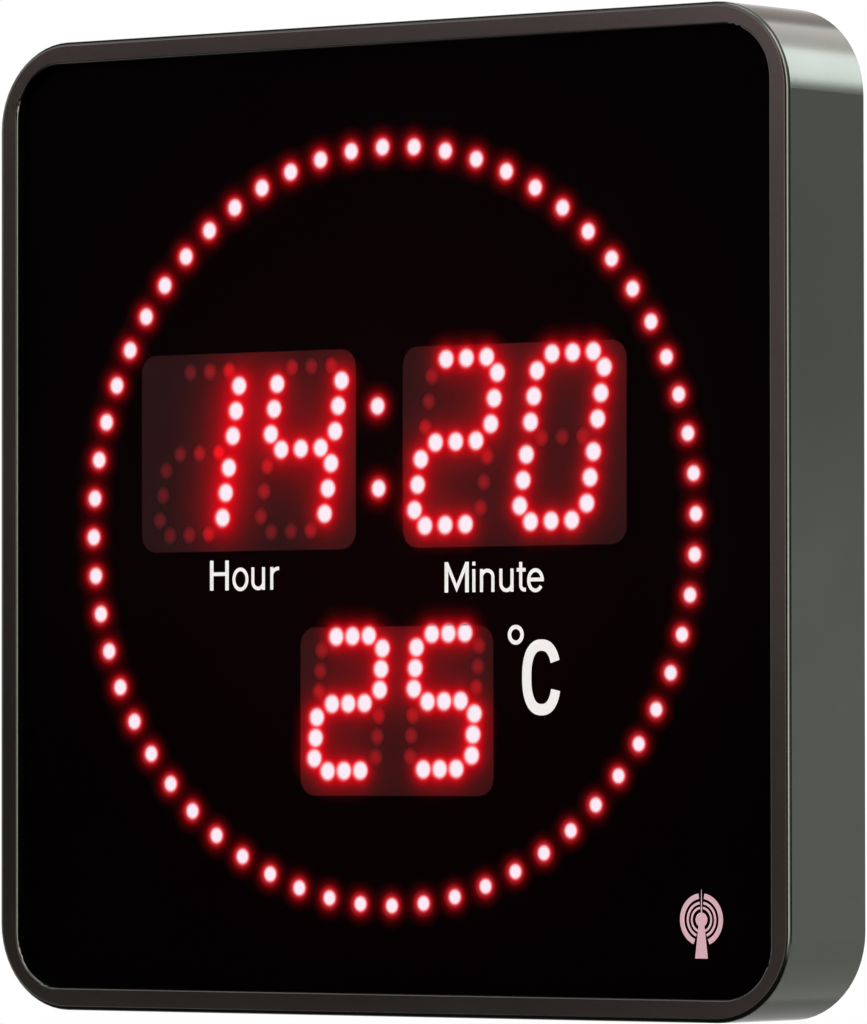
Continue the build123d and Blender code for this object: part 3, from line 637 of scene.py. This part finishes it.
def lampPlaces(name):
    # middle of each separate lamp of a CAD node
    bm = bmesh.new()
    bm.from_mesh(nodes[name].data)
    bmesh.ops.remove_doubles(bm, verts=bm.verts, dist=lamps["weld"])
    waiting = set(bm.verts)
    places = []
    while waiting:
        reached = [waiting.pop()]
        island = []
        while reached:
            vert = reached.pop()
            island.append(vert.co)
            for edge in vert.link_edges:
                other = edge.other_vert(vert)
                if other in waiting:
                    waiting.remove(other)
                    reached.append(other)
        xs = [co.x for co in island]
        zs = [co.z for co in island]
        places.append(((min(xs) + max(xs)) / 2, (min(zs) + max(zs)) / 2))
    bm.free()
    return sorted(places)


def segmentOf(place, places, lean):
    # letter of the segment that a lamp belongs to
    xs = [x for x, z in places]
    zs = [z for x, z in places]
    height = max(zs) - min(zs)
    up = (place[1] - (max(zs) + min(zs)) / 2) / height
    across = place[0] - (max(xs) + min(xs)) / 2 - tan(radians(lean)) * up * height
    if abs(up) > lamps["capShare"]:
        return "a" if up > 0 else "d"
    if abs(up) < lamps["barShare"]:
        return "g"
    return ("b" if across > 0 else "f") if up > 0 else ("c" if across > 0 else "e")


def kindOf(name):
    # on the dial, or in a window
    return 0 if lamps[name] is None else 1


def reachOf(name, place):
    # how wide a lamp shines, because its beam leans a little
    if name == "colon_lamps":
        return glow["colonReach"]
    if name != "second_lamps":
        return 1.0
    mean, share, angle = glow["ringReach"]
    along = place[0] * cos(radians(angle)) + place[1] * sin(radians(angle))
    return mean + share * along / glow["ringRadius"]


def spreadAt(points):
    # wide red light of the figures in their windows
    total = np.zeros(len(points))
    for name in lampNames:
        for place in litPlaces[name] if lamps[name] else []:
            beyond = np.maximum(np.hypot(*(points - place).T) - glow["edge"], 0)
            total += lamps[name][2] * np.exp(-beyond / glow["spreadFalloff"])
    return np.clip(total, 0, glow["spreadMost"])


lampBack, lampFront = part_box("second_lamps")[1].y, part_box("second_lamps")[0].y
lampNames = [key for key in lamps if key.endswith("_lamps")]
allPlaces = {name: lampPlaces(name) for name in lampNames}
litPlaces = {}
for name in lampNames:
    places = allPlaces[name]
    chosen = lamps[name]
    litPlaces[name] = [
        place for place in places
        if chosen is None or segmentOf(place, places, chosen[1]) in chosen[0]
    ]
litSpots = [(kindOf(name), reachOf(name, place), place) for name in lampNames for place in litPlaces[name]]
dialSpots = np.array([place for kind, reach, place in litSpots if kind == 0])
least, share = glow["caught"]

for name in lampNames:
    bm = bmesh.new()
    offsetLayer = bm.verts.layers.float_vector.new("offset")
    caughtRedLightLayer = bm.verts.layers.float.new("caughtRedLight")
    bmesh.ops.create_cone(
        bm, cap_ends=True, segments=lamps["sides"],
        radius1=lamps["radius"], radius2=lamps["radius"], depth=lampBack - lampFront,
        matrix=Matrix.Translation((0, (lampBack + lampFront) / 2, 0)) @ upright,
    )
    front = min(bm.faces, key=lambda face: face.calc_center_median().y)
    bmesh.ops.bevel(
        bm, geom=front.edges, offset=lamps["edge"], offset_type="OFFSET", affect="EDGES",
        segments=1, profile=0.5, material=-1,
    )
    master = list(bm.verts) + list(bm.edges) + list(bm.faces)
    for place in allPlaces[name]:
        isLit = place in litPlaces[name]
        heart = glow["heart"][kindOf(name)] * reachOf(name, place)
        # painted glow: how much red light an unlit lamp seems to catch from the lit lamps around it
        caughtRedLight = 0 if isLit else least + share * spreadAt(np.array([place]))[0]
        copied = bmesh.ops.duplicate(bm, geom=master)["geom"]
        moved = vertsIn(copied)
        for vert in moved:
            vert[offsetLayer] = (vert.co.x / heart, 0, vert.co.z / heart)
            vert[caughtRedLightLayer] = caughtRedLight
        bmesh.ops.translate(bm, verts=moved, vec=(place[0], -lamps["proud"] if isLit else 0, place[1]))
        for face in copied:
            if isinstance(face, bmesh.types.BMFace):
                face.material_index = 0 if isLit else 1
    bmesh.ops.delete(bm, geom=vertsIn(master), context="VERTS")
    bmesh.ops.recalc_face_normals(bm, faces=bm.faces)
    words = name.split("_")
    piece = addPiece(words[0] + "".join(word.capitalize() for word in words[1:]), bm, [litLamp, unlitLamp])
    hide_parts(name)
print("lamps lit:", len(dialSpots), "on the dial,", len(litSpots) - len(dialSpots), "in the windows")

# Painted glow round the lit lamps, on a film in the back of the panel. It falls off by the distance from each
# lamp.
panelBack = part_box("front_panel")[1].y
low = dialSpots.min(0) - glow["margin"]
high = dialSpots.max(0) + glow["margin"]
middle = (low + high) / 2
half = (high - low).max() / 2
across = int(2 * half / glow["step"])
bm = bmesh.new()
glowLayer = bm.verts.layers.float.new("glow")
bloomLayer = bm.verts.layers.float.new("bloom")
filmPlace = Matrix.Translation((middle[0], panelBack - glow["setback"], middle[1])) @ upright
bmesh.ops.create_grid(bm, x_segments=across, y_segments=across, size=half, matrix=filmPlace)
points = np.array([(vert.co.x, vert.co.z) for vert in bm.verts])
glows = np.zeros(len(points))
blooms = np.zeros(len(points))
hearts = np.ones(len(points))
openings = [windows[key] for key in windows if key.endswith("Window")]
inWindow = np.zeros(len(points), bool)
for (x, z), size in openings:
    inWidth = abs(points[:, 0] - x * mm) < size[0] / 2 * mm
    inHeight = abs(points[:, 1] - z * mm) < size[1] / 2 * mm
    inWindow |= inWidth & inHeight
for kind, reach, place in litSpots:
    away = np.hypot(*(points - place).T)
    # the lamp itself shows in its middle, unless the mask hides it
    shown = np.clip((away - glow["shows"][0]) / glow["shows"][1], 0, 1)
    hearts = np.minimum(hearts, np.where(inWindow | (kind == 0), shown, 1))
    away /= reach
    beyond = np.maximum(away - glow["edge"], 0)
    glows += glow["strength"][kind] * np.exp(-beyond / glow["falloff"][kind])
    past = np.minimum((away - glow["heart"][kind]) / glow["soft"], glow["steepest"])
    blooms = np.maximum(blooms, glow["white"] / (1 + np.exp(past)))
glows = np.clip(glows, 0, glow["most"])
blooms = np.clip(blooms / np.maximum(glows, glow["bloomLeast"]), 0, 1)
glows = np.where(glows > glow["least"], glows * hearts, 0)
for vert, value, pink in zip(bm.verts, glows, blooms):
    vert[glowLayer] = value
    vert[bloomLayer] = pink
dark = [face for face in bm.faces if max(vert[glowLayer] for vert in face.verts) == 0]
bmesh.ops.delete(bm, geom=dark, context="FACES")
film = addPiece("glowFilm", bm, [redGlow])
print("glow film:", len(film.data.polygons), "faces")

# Painted wide glow in the windows, on a film in the mask's thickness, cut to the windows' rounded corners
filmFront = lampFront - lamps["proud"] / 2
bm = bmesh.new()
glowLayer = bm.verts.layers.float.new("glow")
for (x, z), size in openings:
    fitted = [(length - windows["spare"]) * mm for length in size]
    across, up = (int(length / glow["spreadStep"]) for length in fitted)
    placed = Matrix.Translation((x * mm, filmFront, z * mm)) @ upright @ Matrix.Diagonal((*fitted, 1, 1))
    made = bmesh.ops.create_grid(bm, x_segments=across, y_segments=up, size=0.5, matrix=placed)["verts"]
    bend = Vector((fitted[0] / 2, fitted[1] / 2)) - Vector((1, 1)) * windows["corner"] * mm
    for vert in made:
        away = Vector((vert.co.x - x * mm, vert.co.z - z * mm))
        past = Vector((max(abs(away.x) - bend.x, 0), max(abs(away.y) - bend.y, 0)))
        if min(past) > 0:
            short = past * (1 - max(past) / past.length)
            vert.co.x -= short.x if away.x > 0 else -short.x
            vert.co.z -= short.y if away.y > 0 else -short.y
points = np.array([(vert.co.x, vert.co.z) for vert in bm.verts])
# painted glow: an even base in every window, and more near the lit figures
for vert, value in zip(bm.verts, spreadAt(points)):
    vert[glowLayer] = glow["base"] + value
film = addPiece("windowFilm", bm, [redGlow])
print("window film:", len(film.data.polygons), "faces")

# Print on the dial, drawn flat in millimetres and given the ink's thickness
ink = {
    "thickness": 0.06,
    "overlap": 0.004,             # each stroke lies this much over the last
    "weld": 0.001,
    "stroke": 1.28,
    "fineStroke": 1.06,
    "sharpest": 0.3,              # least cosine by which a corner's width grows
    "bowStep": 9,                 # degrees between a curve's points, at most
    "bowSpare": 4,                # points that it has besides
    "ringSteps": 32,
    "edge": 0.65,                 # from a letter's left to its stem's middle
    "capital": 8.6,
    "small": 6.5,                 # height of a small letter
    "hourWord": ((-66.3, -19.5), (("H", 0), ("o", 8.2), ("u", 15.1), ("r", 22.0))),
    "minuteWord": (
        (18.45, -21.1),
        (("M", 0), ("i", 9.7), ("n", 12.4), ("u", 19.2), ("t", 25.4), ("e", 29.0)),
    ),
    "degreePlace": (43.5, -33.2),
    "degreeRadii": (1.6, 2.8),
    "celsiusPlace": (52.45, -45.2),
    "celsiusHalf": (5.15, 9.05),  # of the stroke's middle line
    "celsiusStroke": 3.2,
    "celsiusReach": (25, 341),    # degrees round from the right
    "celsiusPower": 2.4,
    "signPlace": (107.3, -112.4),
    "dotRadius": 2.0,
    "dotSides": 24,
    "waveRadii": ((3.0, 3.6), (4.3, 5.0), (5.8, 7.3)),
    "waveReach": (-68, 82),       # degrees from level, on either side
    "waveSteps": 20,
    "mast": ((-1.0, -1.5), (1.0, -1.5), (2.15, -10.7), (-2.15, -10.7)),
    "spike": ((-0.2, 1.8), (0.2, 1.8), (0.08, 8.3), (-0.08, 8.3)),
}


def bow(middle, radii, start, end, power=2.0):
    # points along part of an oval, or of a squarer one where the power is above 2
    points = []
    count = ink["bowSpare"] + int(abs(end - start) / ink["bowStep"])
    for angle in np.radians(np.linspace(start, end, count)):
        x, z = np.cos(angle), np.sin(angle)
        points.append((
            middle[0] + radii[0] * np.sign(x) * abs(x) ** (2 / power),
            middle[1] + radii[1] * np.sign(z) * abs(z) ** (2 / power),
        ))
    return points


def addStroke(bm, points, width, height):
    # flat strip of even width: one edge, extruded along a line of points
    line = [Vector(point) for point in points]
    ends = [bm.verts.new(), bm.verts.new()]
    edge = bm.edges.new(ends)
    for i, point in enumerate(line):
        if i:
            grown = bmesh.ops.extrude_edge_only(bm, edges=[edge])["geom"]
            edge = next(part for part in grown if isinstance(part, bmesh.types.BMEdge))
            ends = edge.verts
        before = (point - line[i - 1]).normalized() if i else (line[1] - point).normalized()
        after = (line[i + 1] - point).normalized() if i + 1 < len(line) else before
        along = (before + after).normalized()
        reach = width / 2 / max(along.dot(before), ink["sharpest"])
        aside = Vector((-along.y, along.x)) * reach
        for vert, spot in zip(ends, (point + aside, point - aside)):
            vert.co = (*spot, height)


def addArc(bm, radii, start, turn, steps):
    # flat strip round the origin, from one edge that is spun
    ends = [bm.verts.new((radius, 0, 0)) for radius in radii]
    edge = bm.edges.new(ends)
    bmesh.ops.transform(bm, matrix=Matrix.Rotation(radians(start), 4, "Z"), verts=ends)
    bmesh.ops.spin(
        bm, geom=ends + [edge], axis=(0, 0, 1), cent=(0, 0, 0),
        angle=radians(turn), steps=steps, use_merge=turn == 360,
    )


def onDial(place):
    return Matrix.Translation((place[0] * mm, panelBack, place[1] * mm))


def printInk(name, bm, placed, finish, body="case"):
    bmesh.ops.remove_doubles(bm, verts=bm.verts, dist=ink["weld"])
    bmesh.ops.recalc_face_normals(bm, faces=bm.faces)
    raised = bmesh.ops.extrude_face_region(bm, geom=list(bm.faces))["geom"]
    bmesh.ops.translate(bm, verts=vertsIn(raised), vec=(0, 0, ink["thickness"]))
    bmesh.ops.transform(bm, matrix=placed @ upright @ Matrix.Scale(mm, 4), verts=bm.verts)
    bmesh.ops.recalc_face_normals(bm, faces=bm.faces)
    addPiece(name, bm, [finish], body)


edge, top, small = ink["edge"], ink["capital"], ink["small"]
stem = [(edge, 0), (edge, top)]
smallStem = [(edge, 0), (edge, small)]
letters = {
    # middle lines of the strokes: the capitals' stems, then the finer ones
    "H": ([stem, [(6.27, 0), (6.27, top)]], [[(edge, 4.7), (6.27, 4.7)]]),
    "M": ([stem, [(7.92, 0), (7.92, top)]], [[(0.8, top - 0.4), (4.3, 1.2), (7.8, top - 0.4)]]),
    "o": ([], [bow((3.0, 3.1), (2.4, 2.87), 0, 360)]),
    "u": ([], [[(edge, small)] + bow((2.6, 2.3), (1.95, 1.88), 180, 360), [(4.55, 0), (4.55, small)]]),
    "r": ([], [smallStem, bow((3.1, 4.0), (2.45, 2.07), 180, 85)]),
    "i": ([], [smallStem, [(edge, top - 1.1), (edge, top)]]),
    "n": ([], [smallStem, bow((2.65, 4.2), (2.0, 1.85), 180, 0) + [(4.65, 0)]]),
    "t": ([], [
        [(1.4, 8.3)] + bow((2.7, 1.8), (1.3, 1.3), 180, 270) + [(3.2, 0.5)],
        [(0, 6.1), (3.1, 6.1)],
    ]),
    "e": ([], [bow((2.95, 3.1), (2.38, 2.85), 5, 325), [(edge, 3.3), (5.85, 3.3)]]),
}
for name in ("hourWord", "minuteWord"):
    place, row = ink[name]
    bm = bmesh.new()
    for letter, right in row:
        lift = 0
        for width, lines in zip((ink["stroke"], ink["fineStroke"]), letters[letter]):
            for line in lines:
                addStroke(bm, [(x + right, z) for x, z in line], width, lift)
                lift += ink["overlap"]
    printInk(name, bm, onDial(place), whiteInk)

bm = bmesh.new()
addArc(bm, ink["degreeRadii"], 0, 360, ink["ringSteps"])
printInk("degreeRing", bm, onDial(ink["degreePlace"]), whiteInk)
bm = bmesh.new()
celsius = bow((0, 0), ink["celsiusHalf"], *ink["celsiusReach"], ink["celsiusPower"])
addStroke(bm, celsius, ink["celsiusStroke"], 0)
printInk("celsiusLetter", bm, onDial(ink["celsiusPlace"]), whiteInk)

# Reception sign in the lower right corner: a mast that sends waves
bm = bmesh.new()
bmesh.ops.create_circle(bm, cap_ends=True, radius=ink["dotRadius"], segments=ink["dotSides"])
low, high = ink["waveReach"]
for radii in ink["waveRadii"]:
    for start in (low, 180 - high):
        addArc(bm, radii, start, high - low, ink["waveSteps"])
for outline in (ink["mast"], ink["spike"]):
    bm.faces.new([bm.verts.new((x, z, ink["overlap"])) for x, z in outline])
printInk("receptionSign", bm, onDial(ink["signPlace"]), roseInk)
print("dial printed")

# Marks on the buttons: a clock to set, plus, minus, waves for reception and a sun for the brightness
marks = {
    "line": 0.6,
    "arcSteps": 10,
    # straight lines, then arcs by their radii, start and turn, in millimetres and degrees
    "set": ([((0, -0.3), (0, 1.5)), ((-0.3, 0), (1.1, 0))], [((1.95, 2.5), 0, 360)]),
    "plus": ([((-2.2, 0), (2.2, 0)), ((0, -2.2), (0, 2.2))], []),
    "minus": ([((-2.2, 0), (2.2, 0))], []),
    "wave": ([], [
        ((0.15, 0.6), 0, 360),
        ((1.1, 1.6), -40, 80), ((1.1, 1.6), 140, 80),
        ((2.0, 2.5), -40, 80), ((2.0, 2.5), 140, 80),
    ]),
    "dim": ([], [((0.7, 1.2), 0, 360)] + [((1.65, 2.5), ray - 8, 16) for ray in range(0, 360, 45)]),
}
for button in buttons:
    lines, arcs = marks[button]
    bm = bmesh.new()
    for i, line in enumerate(lines):
        addStroke(bm, line, marks["line"], i * ink["overlap"])
    for radii, start, turn in arcs:
        addArc(bm, radii, start, turn, ink["ringSteps"] if turn == 360 else marks["arcSteps"])
    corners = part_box(button + "_button")
    middle = (corners[0] + corners[1]) / 2
    placed = Matrix.Translation((middle.x, corners[1].y, middle.z)) @ Matrix.Rotation(radians(180), 4, "Z")
    printInk(button + "Mark", bm, placed, whiteInk, button + "_button")
print("buttons marked")
